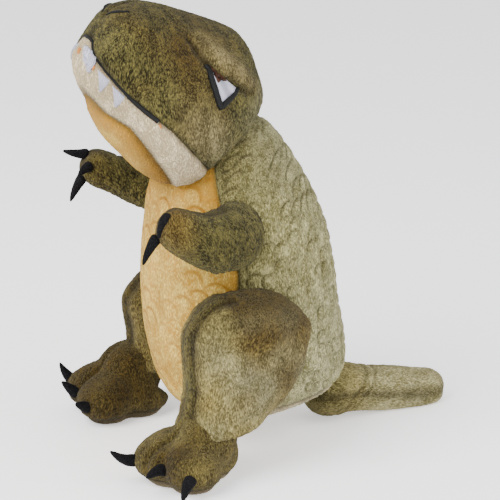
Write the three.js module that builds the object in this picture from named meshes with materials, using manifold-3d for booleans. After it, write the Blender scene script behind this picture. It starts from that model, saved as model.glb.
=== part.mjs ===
// A plush tyrannosaur that stands on two pillow feet and the tip of its tail.
// Millimetres, +Z up. The animal faces -Y and its own left side is +X.
import * as THREE from 'three';
import { mergeVertices } from 'three/addons/utils/BufferGeometryUtils.js';
import Module from 'manifold-3d';

const wasm = await Module();
wasm.setup();

// ---------------------------------------------------------------- driving dimensions (mm, degrees)

const CLOTH = 1.6; // plush, backing and pile, pressed flat
const SEAM_GAP = 0.5; // between two cloth panels along a seam
const FILL_GAP = 1; // between the cloth and its stuffing
const ARM_FILL_GAP = 1.8; // the same in an arm, whose cloth bunches up inside the elbow
const TOUCH_GAP = 0.4; // between pieces that lie on each other
const PATCH_GAP = 0.8; // between the cloth's backing and embroidery on its pile
const SWING_GAP = 1.2; // round a limb that turns in its socket

const BODY_HEIGHT = 135; // underside to the crown of the neck
const BODY_CLEARANCE = 11; // ground to the underside
const BODY_HALF_WIDTH = 39;
const BODY_HALF_DEPTH = 39;
const BODY_FOOT = 3; // the middle of the underside, behind the toy's reference axis
const BODY_LEAN = -12; // how far the neck stands in front of the underside
const BELLY_HALF_ANGLE = 66; // belly panel, either side of the front
const SEAT_SHARE = 0.11; // share of the body's height that the underside panel closes
const NECK_SHARE = 0.88; // share of the body's height where the side panels end

const HEAD_LENGTH = 75; // neck seam to the tip of the snout
const HEAD_TILT = 54; // how far the snout points above the horizon
const HEAD_HALF_WIDTH = 27;
const HEAD_RISE = 47; // mouth line to the top of the skull
const JAW_DEPTH = 18; // mouth line to the underside of the jaw
const MOUTH_DROP = 25; // the mouth corner below the crown of the neck
const MOUTH_ADVANCE = 17; // the mouth corner in front of the crown of the neck
const NECK_SEAM = -9; // the neck opening, behind the mouth corner
const BAND_ANGLE = 52; // cream mouth band, from the lip line down round the jaw
const LIP_CORD = 0.8; // radius of the satin stitch along the lips
const TOOTH_LENGTH = 9.5;
const TOOTH_WIDTH = 5.4;
const STITCH = 0.7; // height of embroidery over the plush

const TAIL_LENGTH = 55; // from its hinge to the tip
const TAIL_ROOT = 11; // half height at the body
const TAIL_WIDTH = 13; // half width at the body
const TAIL_LIFT = 2; // under the tail's root

const ARM_THICKNESS = 10.5; // half thickness of the forearm
const SHOULDER_INSET = 17; // the arm's root, inside the body's half width
const SHOULDER_DROP = 43; // the arm's root, below the crown of the neck
const SHOULDER_SETBACK = 3; // the arm's root, in front of the crown of the neck
const THIGH_HALF_DEPTH = 28; // fore and aft
const THIGH_HALF_WIDTH = 17; // side to side
const HIP_OFFSET = 1; // thigh centre outside the body's half width
const HIP_SPREAD = BODY_HALF_WIDTH + HIP_OFFSET; // thigh centre from the body's axis
const HIP_HEIGHT = 52;
const HIP_FORWARD = 14; // the hip's axis in front of the body's

const FOOT_FORWARD = 38; // foot centre in front of the body's axis
const ANKLE_FORWARD = 30; // the ankle's axis in front of the body's
const FOOT_HEIGHT = 22;
const TOE_RADIUS = 12;
const TOE_REACH = 11; // toe centre ahead of the foot's centre
const HEEL_RADIUS = 14.5;
const HEEL_REACH = 6; // heel centre behind the foot's centre
const SPLAY = { left: 28, right: 6 };

const HAND_CLAW = { length: 13, radius: 2.1 };
const FOOT_CLAW = { length: 13.5, radius: 2.4 };

const POUCH_RADIUS = 23; // pellet pouch
const POUCH_HALF_HEIGHT = 12;

// The turn either way that each socket leaves room for. The hips stop a degree short of it,
// and an arm that swings down stops earlier, on the thigh.
const SWING = { neck: 8, tail: 10, shoulder: 12, hip: 6, ankle: 8 };

const COLOUR = {
  hide: 0x7d7a5c,
  head: 0x5b5433,
  belly: 0xd8b878,
  jaw: 0xc9a566,
  band: 0xd9c7ab,
  seat: 0xe2d6bd,
  limb: 0x675f3d,
  claw: 0x1d1c20,
  stitch: 0x18171b,
  tooth: 0xe4e1ea,
  eye: 0xf2f0f3,
  iris: 0x6b3a1c,
  fill: 0xf4f2ee,
  pouch: 0xcfc8ba,
};

// ---------------------------------------------------------------- small helpers

const RADIAN = Math.PI / 180;
const X_AXIS = new THREE.Vector3(1, 0, 0);
const vector = (x, y, z) => new THREE.Vector3(x, y, z);
const powered = (value, power) => Math.sign(value) * Math.abs(value) ** power;
const clamp = (value) => Math.min(Math.max(value, 0), 1);
const mix = (from, to, share) => from + (to - from) * share;

// A smooth value through evenly spaced knots.
function smooth(knots, share) {
  const last = knots.length - 1;
  const index = Math.min(Math.floor(share * last), last - 1);
  const s = share * last - index;
  const knot = (i) => knots[Math.min(Math.max(i, 0), last)];
  const [a, b, c, d] = [knot(index - 1), knot(index), knot(index + 1), knot(index + 2)];
  return b + 0.5 * s * (c - a + s * (2 * a - 5 * b + 4 * c - d + s * (3 * (b - c) + d - a)));
}

// A closed mesh from triangles of points, turned so that it faces out.
function closedMesh(triangles) {
  let volume = 0;
  for (const [a, b, c] of triangles) volume += a.dot(b.clone().cross(c));
  const points = triangles.flatMap(([a, b, c]) => (volume < 0 ? [a, c, b] : [a, b, c]));
  return welded(new THREE.BufferGeometry().setFromPoints(points));
}

// Merges shared corners and drops the triangles that this leaves without area.
function welded(geometry) {
  geometry.deleteAttribute('normal');
  geometry.deleteAttribute('uv');
  const merged = mergeVertices(geometry, 1e-3);
  const corners = merged.index.array;
  const kept = [];
  for (let i = 0; i < corners.length; i += 3) {
    const [a, b, c] = corners.subarray(i, i + 3);
    if (a !== b && b !== c && c !== a) kept.push(a, b, c);
  }
  merged.setIndex(kept);
  return merged;
}

// A closed sheet between two grids of points; rows may shrink to a pole, columns may close on themselves.
function thickSheet(outer, inner, rows, columns, closes) {
  const triangles = [];
  const quad = (a, b, c, d) => triangles.push([a, b, c], [a, c, d]);
  for (let i = 0; i < rows; i++) {
    for (let j = 0; j < columns; j++) {
      quad(outer(i, j), outer(i + 1, j), outer(i + 1, j + 1), outer(i, j + 1));
      quad(inner(i, j), inner(i, j + 1), inner(i + 1, j + 1), inner(i + 1, j));
    }
  }
  for (let j = 0; j < columns; j++) {
    quad(outer(0, j), outer(0, j + 1), inner(0, j + 1), inner(0, j));
    quad(outer(rows, j + 1), outer(rows, j), inner(rows, j), inner(rows, j + 1));
  }
  for (let i = 0; i < rows && !closes; i++) {
    quad(outer(i + 1, 0), outer(i, 0), inner(i, 0), inner(i + 1, 0));
    quad(outer(i, columns), outer(i + 1, columns), inner(i + 1, columns), inner(i, columns));
  }
  return closedMesh(triangles);
}

// ---------------------------------------------------------------- stuffed forms

// A stuffed form along a spine. At each knot it has a half width and a reach towards and away from `lift`;
// both ends close in a dome. depth is measured in from the cloth's outer face.
class Sack {
  constructor({ spine, side, lift, drop, towards, domes, power = 2.2, floor = -Infinity }) {
    this.curve = new THREE.CatmullRomCurve3(spine, false, 'catmullrom', 0.5);
    this.length = this.curve.getLength();
    Object.assign(this, { side, lift, drop, towards, domes, power, floor });
  }

  section(share, depth) {
    const trimmed = mix(depth / this.length, 1 - depth / this.length, clamp(share));
    const onCurve = clamp(trimmed);
    const tangent = this.curve.getTangent(onCurve);
    const past = (trimmed - onCurve) * this.length;
    const up = this.towards.clone().addScaledVector(tangent, -this.towards.dot(tangent)).normalize();
    const fromStart = clamp(share) * (this.length - 2 * depth);
    const fromEnd = this.length - 2 * depth - fromStart;
    const dome = (distance, radius) => {
      const reach = clamp(1 - distance / Math.max(radius - depth, 0.5));
      return Math.sqrt(1 - reach * reach);
    };
    const scale = dome(fromStart, this.domes[0]) * dome(fromEnd, this.domes[1]);
    return {
      centre: this.curve.getPoint(onCurve).addScaledVector(tangent, past),
      across: up.clone().cross(tangent),
      up,
      side: (smooth(this.side, onCurve) - depth) * scale,
      lift: (smooth(this.lift, onCurve) - depth) * scale,
      drop: (smooth(this.drop, onCurve) - depth) * scale,
    };
  }

  // angle is in turns from `lift`, towards the side.
  point(share, angle, depth) {
    const { centre, across, up, side, lift, drop } = this.section(share, depth);
    const sine = powered(Math.sin(angle * 2 * Math.PI), 2 / this.power);
    const cosine = powered(Math.cos(angle * 2 * Math.PI), 2 / this.power);
    const point = centre.clone().addScaledVector(across, side * sine);
    point.addScaledVector(up, (cosine > 0 ? lift : drop) * cosine);
    point.z = Math.max(point.z, this.floor + depth);
    return point;
  }

  solid(depth, rows, columns) {
    const triangles = [];
    const at = (i, j) => this.point(this.row(i / rows), (j % columns) / columns, depth);
    for (let i = 0; i < rows; i++) {
      for (let j = 0; j < columns; j++) {
        const [a, b, c, d] = [at(i, j), at(i + 1, j), at(i + 1, j + 1), at(i, j + 1)];
        triangles.push([a, b, c], [a, c, d]);
      }
    }
    return closedMesh(triangles);
  }

  // Rows lie closer together over the domes.
  row(share) {
    return 0.35 * share + 0.65 * (0.5 - 0.5 * Math.cos(Math.PI * share));
  }

  // One cloth panel: from one share of the length to another, and between two angles in turns.
  panel({ from, to, start, end, rows, columns, cloth = CLOTH }) {
    const closes = end - start > 0.999;
    const grid = (depth) => (i, j) => {
      const share = this.row(mix(from, to, i / rows));
      const turn = closes ? (j % columns) / columns : j / columns;
      const section = this.section(share, 0);
      const girth = 2 * Math.PI * Math.max(Math.min(section.side, section.lift, section.drop), 4);
      const seam = closes ? 0 : Math.min(SEAM_GAP / 2 / girth, (end - start) / 6);
      return this.point(share, mix(start + seam, end - seam, turn), depth);
    };
    return thickSheet(grid(0), grid(cloth), rows, columns, closes);
  }
}

// A pillow with a flat underside at z = 0, whose outline is given by a radius for each heading.
class Pillow {
  constructor({ centre, heading, outline, height, slope }) {
    Object.assign(this, { centre, heading, outline, height, slope });
  }

  // rise runs from -1 at the middle of the underside to 1 at the top.
  point(rise, turn, depth) {
    const angle = turn * 2 * Math.PI;
    const { radius, crease } = this.outline(angle);
    const reach = Math.cos((rise * Math.PI) / 2) ** 0.7 * (radius - depth);
    const middle = this.height * 0.42;
    const wave = Math.sin((rise * Math.PI) / 2);
    const forward = reach * Math.cos(angle);
    const top = this.height - depth - middle - this.slope * forward - crease * clamp(reach / radius);
    const bottom = middle + 3 - depth;
    const z = Math.max(middle + wave * (wave > 0 ? top : bottom), depth);
    const direction = this.heading + angle;
    return vector(
      this.centre.x + reach * Math.sin(direction),
      this.centre.y - reach * Math.cos(direction),
      z,
    );
  }

  solid(depth, rows, columns) {
    const triangles = [];
    const at = (i, j) => this.point(-1 + (2 * i) / rows, (j % columns) / columns, depth);
    for (let i = 0; i < rows; i++) {
      for (let j = 0; j < columns; j++) {
        const [a, b, c, d] = [at(i, j), at(i + 1, j), at(i + 1, j + 1), at(i, j + 1)];
        triangles.push([a, b, c], [a, c, d]);
      }
    }
    return closedMesh(triangles);
  }

  panel(from, to, rows, columns) {
    const grid = (depth) => (i, j) => this.point(mix(from, to, i / rows), (j % columns) / columns, depth);
    return thickSheet(grid(0), grid(CLOTH), rows, columns, true);
  }
}

// ---------------------------------------------------------------- solids and cuts

function toSolid(geometry) {
  return new wasm.Manifold(
    new wasm.Mesh({
      numProp: 3,
      vertProperties: geometry.attributes.position.array,
      triVerts: new Uint32Array(geometry.index.array),
    }),
  );
}

// The largest body of a solid, as a geometry.
function toGeometry(solid) {
  const [largest] = solid.decompose().sort((a, b) => b.volume() - a.volume());
  const mesh = largest.getMesh();
  const geometry = new THREE.BufferGeometry();
  geometry.setAttribute('position', new THREE.BufferAttribute(mesh.vertProperties, 3));
  geometry.setIndex(new THREE.BufferAttribute(mesh.triVerts, 1));
  return geometry;
}

function cut(geometry, ...cutters) {
  return toGeometry(cutters.reduce((solid, cutter) => solid.subtract(cutter), toSolid(geometry)));
}

// The room that a form takes up while it turns about an X axis through the pivot.
function swept(geometry, pivot, swing) {
  const turned = [-1, 0, 1].map((share) => {
    const turn = new THREE.Matrix4().makeTranslation(pivot)
      .multiply(new THREE.Matrix4().makeRotationAxis(X_AXIS, swing * share * RADIAN))
      .multiply(new THREE.Matrix4().makeTranslation(pivot.clone().negate()));
    return toSolid(geometry.clone().applyMatrix4(turn));
  });
  return turned.reduce((whole, next) => whole.add(next));
}

// ---------------------------------------------------------------- the forms

const bodySpine = [0, 0.14, 0.28, 0.41, 0.54, 0.67, 0.8, 1].map((share) =>
  vector(0, BODY_FOOT + BODY_LEAN * share, BODY_CLEARANCE + BODY_HEIGHT * share));
const body = new Sack({
  spine: bodySpine,
  side: [0.88, 0.95, 0.99, 1, 0.99, 0.92, 0.79, 0.62].map((share) => share * BODY_HALF_WIDTH),
  lift: [1.13, 1.11, 1.07, 1.04, 1.0, 0.88, 0.71, 0.58].map((share) => share * BODY_HALF_DEPTH),
  drop: [0.84, 0.95, 1.02, 1.02, 0.97, 0.88, 0.78, 0.62].map((share) => share * BODY_HALF_DEPTH),
  towards: vector(0, 1, 0),
  domes: [15, 27],
});

const snoutDirection = vector(0, -Math.cos(HEAD_TILT * RADIAN), Math.sin(HEAD_TILT * RADIAN));
const crownDirection = vector(0, Math.sin(HEAD_TILT * RADIAN), Math.cos(HEAD_TILT * RADIAN));
const neckCrown = vector(0, BODY_FOOT + BODY_LEAN, BODY_CLEARANCE + BODY_HEIGHT);
const mouthCorner = neckCrown.clone().add(vector(0, -MOUTH_ADVANCE, -MOUTH_DROP));
const alongHead = (forward) => mouthCorner.clone().addScaledVector(snoutDirection, forward);
const HEAD_STATIONS = 7;
const headSpine = Array.from({ length: HEAD_STATIONS }, (_, i) =>
  alongHead(NECK_SEAM + (HEAD_LENGTH * i) / (HEAD_STATIONS - 1)));
const head = new Sack({
  spine: headSpine,
  side: [0.9, 1, 1.02, 0.99, 0.84, 0.68, 0.56].map((share) => share * HEAD_HALF_WIDTH),
  lift: [0.86, 0.92, 1.02, 1.03, 0.88, 0.69, 0.55].map((share) => share * HEAD_RISE),
  drop: [0.8, 0.85, 0.9, 0.97, 0.92, 0.76, 0.52].map((share) => share * JAW_DEPTH),
  towards: crownDirection,
  domes: [10, 8],
  power: 2.3,
});
const neckPivot = vector(0, BODY_FOOT + 0.8 * BODY_LEAN, BODY_CLEARANCE + 0.8 * BODY_HEIGHT);

const tailPivot = vector(0, BODY_FOOT + BODY_HALF_DEPTH, TAIL_ROOT + TAIL_LIFT);
const tail = new Sack({
  spine: [-12, 1, 14, 27, 40, TAIL_LENGTH].map((along) =>
    vector(0, tailPivot.y + along, mix(tailPivot.z, 6, clamp(along / 40)))),
  side: [1, 1, 0.9, 0.78, 0.64, 0.5].map((share) => share * TAIL_WIDTH),
  lift: [1, 1, 0.86, 0.74, 0.6, 0.52].map((share) => share * TAIL_ROOT),
  drop: [1, 1, 0.9, 0.76, 0.6, 0.52].map((share) => share * TAIL_ROOT),
  towards: vector(0, 0, 1),
  domes: [12, 8],
  floor: 0,
});

// Each arm's course from the shoulder: outwards, forwards and up.
const ARM_SPINE = {
  left: [[0, 0, 0], [9, 4, -4], [15, 12, -7], [17.5, 25, -3], [15, 40, 6]],
  right: [[2, 6, -3], [10, 11, -3], [16, 20, -1], [19, 31, 5], [20, 43, 10]],
};
const ARM_GIRTH = {
  left: [1.1, 1.25, 1.3, 1.0, 0.82],
  right: [0.9, 0.95, 0.9, 0.8, 0.76],
};
// Each leg's course from the hip: outwards, forwards and up. The last two points lie in the ankle,
// and their heights are from the top of the foot.
const LEG_SPINE = {
  left: [[0, 0, 28], [0, 1, 14], [0, 2, 0], [0, 8, -15], [1, 17, 1], [1, 20, -13]],
  right: [[0, -5, 15], [0, -4, 4], [0, -3, -7], [0, 2, -19], [0, 8, -1], [0, 12, -13]],
};
const sideSign = { left: 1, right: -1 };
const arms = {};
const legs = {};
const feet = {};
const shoulder = neckCrown.clone().add(vector(BODY_HALF_WIDTH - SHOULDER_INSET, -SHOULDER_SETBACK, -SHOULDER_DROP));
for (const [side, sign] of Object.entries(sideSign)) {
  arms[side] = new Sack({
    spine: ARM_SPINE[side].map(([out, forward, up]) =>
      vector(sign * (shoulder.x + out), shoulder.y - forward, shoulder.z + up)),
    side: ARM_GIRTH[side].map((share) => share * ARM_THICKNESS),
    lift: ARM_GIRTH[side].map((share) => 0.88 * share * ARM_THICKNESS),
    drop: ARM_GIRTH[side].map((share) => 0.88 * share * ARM_THICKNESS),
    towards: vector(sign, 0, 0),
    domes: [12, 7],
  });
  legs[side] = new Sack({
    spine: LEG_SPINE[side].map(([out, forward, up], i) =>
      vector(sign * (HIP_SPREAD + out), -HIP_FORWARD - forward, up + (i < 4 ? HIP_HEIGHT : FOOT_HEIGHT))),
    side: [0.8, 0.96, 1, 0.84, 0.52, 0.42].map((share) => share * THIGH_HALF_DEPTH),
    lift: [0.9, 1, 1, 0.92, 0.78, 0.7].map((share) => share * THIGH_HALF_WIDTH),
    drop: [0.9, 1, 1, 0.92, 0.78, 0.7].map((share) => share * THIGH_HALF_WIDTH),
    towards: vector(sign, 0, 0),
    domes: [22, 8],
  });
  feet[side] = new Pillow({
    centre: vector(sign * HIP_SPREAD, -FOOT_FORWARD, 0),
    heading: sign * SPLAY[side] * RADIAN,
    outline: footOutline,
    height: FOOT_HEIGHT,
    slope: 0.12,
  });
}

// Two toes side by side ahead of a round heel, with a crease between the toes.
function footOutline(angle) {
  const direction = new THREE.Vector2(Math.cos(angle), Math.sin(angle));
  const toeSpread = TOE_RADIUS * 0.66;
  const rounds = [
    [TOE_REACH, toeSpread, TOE_RADIUS],
    [TOE_REACH, -toeSpread, TOE_RADIUS],
    [-HEEL_REACH, 0, HEEL_RADIUS],
    [TOE_REACH * 0.35, 0, (TOE_RADIUS + HEEL_RADIUS) / 2],
  ];
  const reaches = rounds.map(([forward, across, radius]) => {
    const along = direction.x * forward + direction.y * across;
    const off = direction.x * across - direction.y * forward;
    return Math.abs(off) < radius ? along + Math.sqrt(radius * radius - off * off) : 0;
  });
  const fromMiddle = (angle > Math.PI ? angle - 2 * Math.PI : angle) / 0.2;
  const crease = 5 * Math.exp(-fromMiddle * fromMiddle);
  return { radius: Math.max(...reaches), crease };
}

// ---------------------------------------------------------------- room for what moves

const hipPivot = (side) => vector(sideSign[side] * HIP_SPREAD, -HIP_FORWARD, HIP_HEIGHT);
const anklePivot = (side) => vector(sideSign[side] * HIP_SPREAD, -ANKLE_FORWARD, FOOT_HEIGHT + 1);
const shoulderPivot = (side) => arms[side].curve.getPoint(0);

const bodyRoom = body.solid(-SWING_GAP, 10, 18);
const neckRoom = swept(bodyRoom, neckPivot, SWING.neck);
const tailRoom = swept(tail.solid(-SWING_GAP, 8, 12), tailPivot, SWING.tail);
const hipRoom = {};
const ankleRoom = {};
const shoulderRoom = {};
for (const side of Object.keys(sideSign)) {
  hipRoom[side] = swept(bodyRoom, hipPivot(side), SWING.hip);
  ankleRoom[side] = swept(legs[side].solid(-SWING_GAP, 9, 14), anklePivot(side), SWING.ankle);
  shoulderRoom[side] = swept(arms[side].solid(-SWING_GAP, 9, 12), shoulderPivot(side), SWING.shoulder);
}

// ---------------------------------------------------------------- the toy's sub-parts

const dinosaur = new THREE.Group();

function add(name, geometry, colour, roughness = 0.95) {
  const material = new THREE.MeshStandardMaterial({ color: colour, roughness, metalness: 0 });
  const shown = geometry.clone();
  shown.computeVertexNormals();
  const mesh = new THREE.Mesh(shown, material);
  mesh.name = name;
  dinosaur.add(mesh);
}

// Embroidery or a patch that lies on a surface: place(p, q, height) gives its points, outline its edge.
function applique(place, outline, under = PATCH_GAP, over = PATCH_GAP + STITCH) {
  const middle = outline.reduce(([p, q], [u, v]) => [p + u / outline.length, q + v / outline.length], [0, 0]);
  const rings = [0, 0.5, 1];
  const grid = (height) => (i, j) => {
    const [p, q] = outline[j % outline.length];
    return place(mix(middle[0], p, rings[i]), mix(middle[1], q, rings[i]), height);
  };
  return thickSheet(grid(over), grid(under), rings.length - 1, outline.length, true);
}

// A claw: a stuffed cone of black cloth from its root to its tip, bowed by `bow`.
function claw(root, tip, bow, radius) {
  const middle = root.clone().lerp(tip, 0.5).add(bow);
  const taper = [1, 0.95, 0.72, 0.3].map((share) => share * radius);
  const horn = new Sack({
    spine: [root, root.clone().lerp(middle, 0.66), middle.clone().lerp(tip, 0.34), tip],
    side: taper,
    lift: taper,
    drop: taper,
    towards: vector(0.31, 0.17, 0.93),
    domes: [1, 2],
  });
  return horn.solid(0, 5, 6);
}

function addBody() {
  const sockets = [tailRoom, shoulderRoom.left, shoulderRoom.right];
  const belly = BELLY_HALF_ANGLE / 360;
  const upright = { from: SEAT_SHARE, to: NECK_SHARE, rows: 10 };
  const reach = { left: [0, 0.5 - belly], right: [0.5 + belly, 1] };
  for (const [side, [start, end]] of Object.entries(reach)) {
    const panel = body.panel({ ...upright, start, end, columns: 8 });
    add(`body_panel_${side}`, cut(panel, ...sockets), COLOUR.hide);
  }
  const front = body.panel({ ...upright, start: 0.5 - belly, end: 0.5 + belly, columns: 8 });
  add('belly_panel', cut(front, ...sockets), COLOUR.belly);
  const seat = body.panel({ from: 0, to: SEAT_SHARE - 0.006, start: 0, end: 1, rows: 3, columns: 20 });
  add('seat_panel', cut(seat, ...sockets), COLOUR.seat);

  const pouchForm = (grow) => new THREE.SphereGeometry(1, 14, 8)
    .scale(POUCH_RADIUS + grow, POUCH_RADIUS + grow, POUCH_HALF_HEIGHT + grow)
    .translate(0, 0, BODY_CLEARANCE + CLOTH + POUCH_HALF_HEIGHT - 2);
  const inside = toSolid(body.solid(CLOTH + 2 * FILL_GAP, 10, 18));
  add('pellet_pouch', toGeometry(toSolid(welded(pouchForm(0))).intersect(inside)), COLOUR.pouch);
  const filling = body.solid(CLOTH + FILL_GAP, 10, 18);
  add('body_stuffing', cut(filling, toSolid(welded(pouchForm(TOUCH_GAP))), ...sockets), COLOUR.fill);
}

// A point on the side of the head, forward of the mouth corner and above the mouth line.
function flank(sign) {
  return (forward, above, height) => {
    const { centre, up, side, lift, drop } = head.section((forward - NECK_SEAM) / HEAD_LENGTH, 0);
    const reach = (above > 0 ? lift : drop) + height;
    const width = (side + height) * (1 - Math.min(Math.abs(above) / reach, 0.999) ** head.power) ** (1 / head.power);
    return centre.clone().addScaledVector(up, above).add(vector(sign * width, 0, 0));
  };
}

// A point on the side of the jaw: forward of the mouth corner, and down from the lips along the cloth.
function jawSide(sign) {
  return (forward, down, height) => {
    const share = (forward - NECK_SEAM) / HEAD_LENGTH;
    const { side, drop } = head.section(share, 0);
    const quarter = (Math.PI / 2) * Math.sqrt((side * side + drop * drop) / 2);
    return head.point(share, 0.5 - sign * 0.25 * (1 - down / quarter), -height);
  };
}

// A point on the blunt front of the snout, across it and above the mouth line.
function muzzle(across, above, height) {
  const tip = head.section(1 - head.domes[1] / head.length, 0);
  const reach = above > 0 ? tip.lift : tip.drop;
  const off = (Math.abs(across) / tip.side) ** head.power + (Math.abs(above) / reach) ** head.power;
  const round = Math.sqrt(1 - Math.min(off, 1) ** (2 / head.power));
  const forward = NECK_SEAM + HEAD_LENGTH - head.domes[1] * (1 - round) + height;
  return alongHead(forward).addScaledVector(crownDirection, above).add(vector(across, 0, 0));
}

const EYE = [[13, 19], [18, 17.5], [31, 30], [32, 33], [21, 28], [14, 23]];
const IRIS = [[21, 24.5], [26, 28.5], [26, 29.6], [20.5, 26.6]];
const TOOTH_PLACES = [61.5, 53, 44]; // forward of the mouth corner
const NOSTRIL = [[56, 15], [56.5, 13.8], [61, 16], [60.4, 17.4]];
const BROW = { root: [10, 25], peak: [24, 37], end: [38, 35], radius: 4.2 };

function addHead() {
  const band = BAND_ANGLE / 360;
  const whole = { from: 0, to: 1 };
  add('head_panel_left', cut(head.panel({ ...whole, start: 0, end: 0.25, rows: 10, columns: 6 }), neckRoom), COLOUR.head);
  add('head_panel_right', cut(head.panel({ ...whole, start: 0.75, end: 1, rows: 10, columns: 6 }), neckRoom), COLOUR.head);
  const under = head.panel({ ...whole, start: 0.25 + band, end: 0.75 - band, rows: 10, columns: 4 });
  add('jaw_panel', cut(under, neckRoom), COLOUR.jaw);
  for (const [side, sign] of Object.entries(sideSign)) {
    const start = sign > 0 ? 0.25 : 0.75 - band;
    const strip = head.panel({ ...whole, start, end: start + band, rows: 10, columns: 2 });
    add(`mouth_band_${side}`, cut(strip, neckRoom), COLOUR.band);
    addFace(side, sign);
  }
  add('head_stuffing', cut(head.solid(CLOTH + FILL_GAP, 10, 18), neckRoom), COLOUR.fill);
  addLips();
}

function addFace(side, sign) {
  const cheek = flank(sign);
  add(`eye_${side}`, applique(cheek, EYE), COLOUR.eye, 0.5);
  const above = PATCH_GAP + STITCH + 1.5 * TOUCH_GAP;
  add(`iris_${side}`, applique(cheek, IRIS, above, above + STITCH), COLOUR.iris, 0.5);
  const skull = toSolid(head.solid(-PATCH_GAP - 2 * STITCH - 0.6, 10, 24));
  const [root, peak, end] = [BROW.root, BROW.peak, BROW.end].map(([forward, up]) => cheek(forward, up, 0));
  const taper = [0.6, 1, 0.95, 0.5].map((share) => share * BROW.radius);
  const fold = new Sack({
    spine: [root, root.clone().lerp(peak, 0.7), peak.clone().lerp(end, 0.4), end],
    side: taper,
    lift: taper,
    drop: taper,
    towards: vector(sign, 0, 0),
    domes: [4, 4],
  });
  add(`nostril_${side}`, applique(cheek, NOSTRIL, above, above + STITCH), COLOUR.stitch, 0.6);
  add(`brow_${side}`, cut(fold.solid(0, 8, 10), skull), COLOUR.head);
  TOOTH_PLACES.forEach((forward, i) => {
    const half = TOOTH_WIDTH / 2;
    const top = 2 * LIP_CORD;
    const outline = [[forward - half, top], [forward + half, top], [forward, top + TOOTH_LENGTH]];
    add(`tooth_${side}_${i + 1}`, applique(jawSide(sign), outline), COLOUR.tooth, 0.5);
  });
}

// The black satin stitch that follows the mouth line round the snout.
function addLips() {
  const away = LIP_CORD + PATCH_GAP;
  const left = [8, 16, 24, 32, 40, 48, 55].map((forward) => flank(1)(forward, 0, away));
  const front = [10, 5, 0].map((across) => muzzle(across, 0, away));
  const half = [...left, ...front];
  const mirrored = half.slice(0, -1).reverse().map((point) => vector(-point.x, point.y, point.z));
  const route = new THREE.CatmullRomCurve3([...half, ...mirrored]);
  const ring = new THREE.Shape().absarc(0, 0, LIP_CORD, 0, 2 * Math.PI);
  const options = { extrudePath: route, steps: 30, curveSegments: 3, bevelEnabled: false };
  add('lip_stitching', welded(new THREE.ExtrudeGeometry(ring, options)), COLOUR.stitch, 0.6);
}

function addTail() {
  const lying = { from: 0, to: 1, rows: 8 };
  add('tail_top_panel', tail.panel({ ...lying, start: -0.25, end: 0.25, columns: 6 }), COLOUR.limb);
  add('tail_under_panel', tail.panel({ ...lying, start: 0.25, end: 0.75, columns: 6 }), COLOUR.limb);
  add('tail_stuffing', tail.solid(CLOTH + FILL_GAP, 8, 12), COLOUR.fill);
}

// Where each claw leaves the hand: along the arm, turns round it from its outer side by way of its
// underside, and where its tip points.
const HAND_CLAWS = {
  left: [
    { share: 0.97, round: 0.86, aim: [0.15, -0.55, -0.8], bow: [0, -1.4, 0.6] },
    { share: 0.95, round: 0.28, aim: [0, -0.62, -0.78], bow: [0, -0.6, 0.6] },
    { share: 0.93, round: 0.5, aim: [-0.3, -0.6, -0.7], bow: [0, -0.6, 0.6] },
  ],
  right: [
    { share: 0.97, round: 0.8, aim: [0.2, -0.93, 0.3], bow: [0, 0, -1.2] },
    { share: 0.95, round: 0.28, aim: [0.25, -0.5, -0.82], bow: [0, -0.6, 0] },
    { share: 0.95, round: 0.5, aim: [-0.3, -0.9, -0.2], bow: [0, 0, 0.8] },
  ],
};

function addArm(side) {
  const arm = arms[side];
  const whole = { from: 0, to: 1, rows: 9, columns: 6 };
  const outer = { ...whole, start: -0.25, end: 0.25 };
  const inner = { ...whole, start: 0.25, end: 0.75 };
  add(`arm_outer_panel_${side}`, arm.panel(outer), COLOUR.limb);
  add(`arm_inner_panel_${side}`, arm.panel(inner), COLOUR.limb);
  // Inside the elbow the cloth folds in on the stuffing, which keeps clear of it.
  const folds = [outer, inner].map((cloth) => toSolid(arm.panel({ ...cloth, cloth: CLOTH + TOUCH_GAP })));
  add(`arm_stuffing_${side}`, cut(arm.solid(CLOTH + ARM_FILL_GAP, 9, 12), ...folds), COLOUR.fill);
  const hand = toSolid(arm.solid(-TOUCH_GAP, 9, 12));
  const sign = sideSign[side];
  HAND_CLAWS[side].forEach(({ share, round, aim, bow }, i) => {
    const root = arm.point(share, sign * round, 1);
    const away = vector(sign * aim[0], aim[1], aim[2]).normalize();
    const tip = root.clone().addScaledVector(away, HAND_CLAW.length + 1);
    const horn = claw(root, tip, vector(sign * bow[0], bow[1], bow[2]), HAND_CLAW.radius);
    add(`hand_claw_${side}_${i + 1}`, cut(horn, hand), COLOUR.claw, 0.8);
  });
}

function addLeg(side) {
  const leg = legs[side];
  const whole = { from: 0, to: 1, rows: 9, columns: 7 };
  const room = hipRoom[side];
  add(`leg_outer_panel_${side}`, cut(leg.panel({ ...whole, start: -0.27, end: 0.27 }), room), COLOUR.limb);
  add(`leg_inner_panel_${side}`, cut(leg.panel({ ...whole, start: 0.27, end: 0.73 }), room), COLOUR.limb);
  add(`leg_stuffing_${side}`, cut(leg.solid(CLOTH + FILL_GAP, 9, 14), room), COLOUR.fill);
}

const SOLE_RISE = -0.42; // where the sole meets the upper

const FOOT_CLAWS = {
  left: [
    { turn: -0.11, rise: 0.04, lean: 0.4, bow: -1.6 },
    { turn: 0, rise: 0, lean: 0.05, bow: 1 },
    { turn: 0.1, rise: -0.02, lean: -0.5, bow: 1.2 },
  ],
  right: [
    { turn: 0.1, rise: 0.2, lean: 1.1, bow: -1.4, reach: 0.75 },
    { turn: 0.02, rise: 0.12, lean: 1, bow: -1.4, reach: 0.75 },
    { turn: -0.1, rise: 0.02, lean: 0.6, bow: -1, reach: 0.65 },
  ],
};

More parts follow.
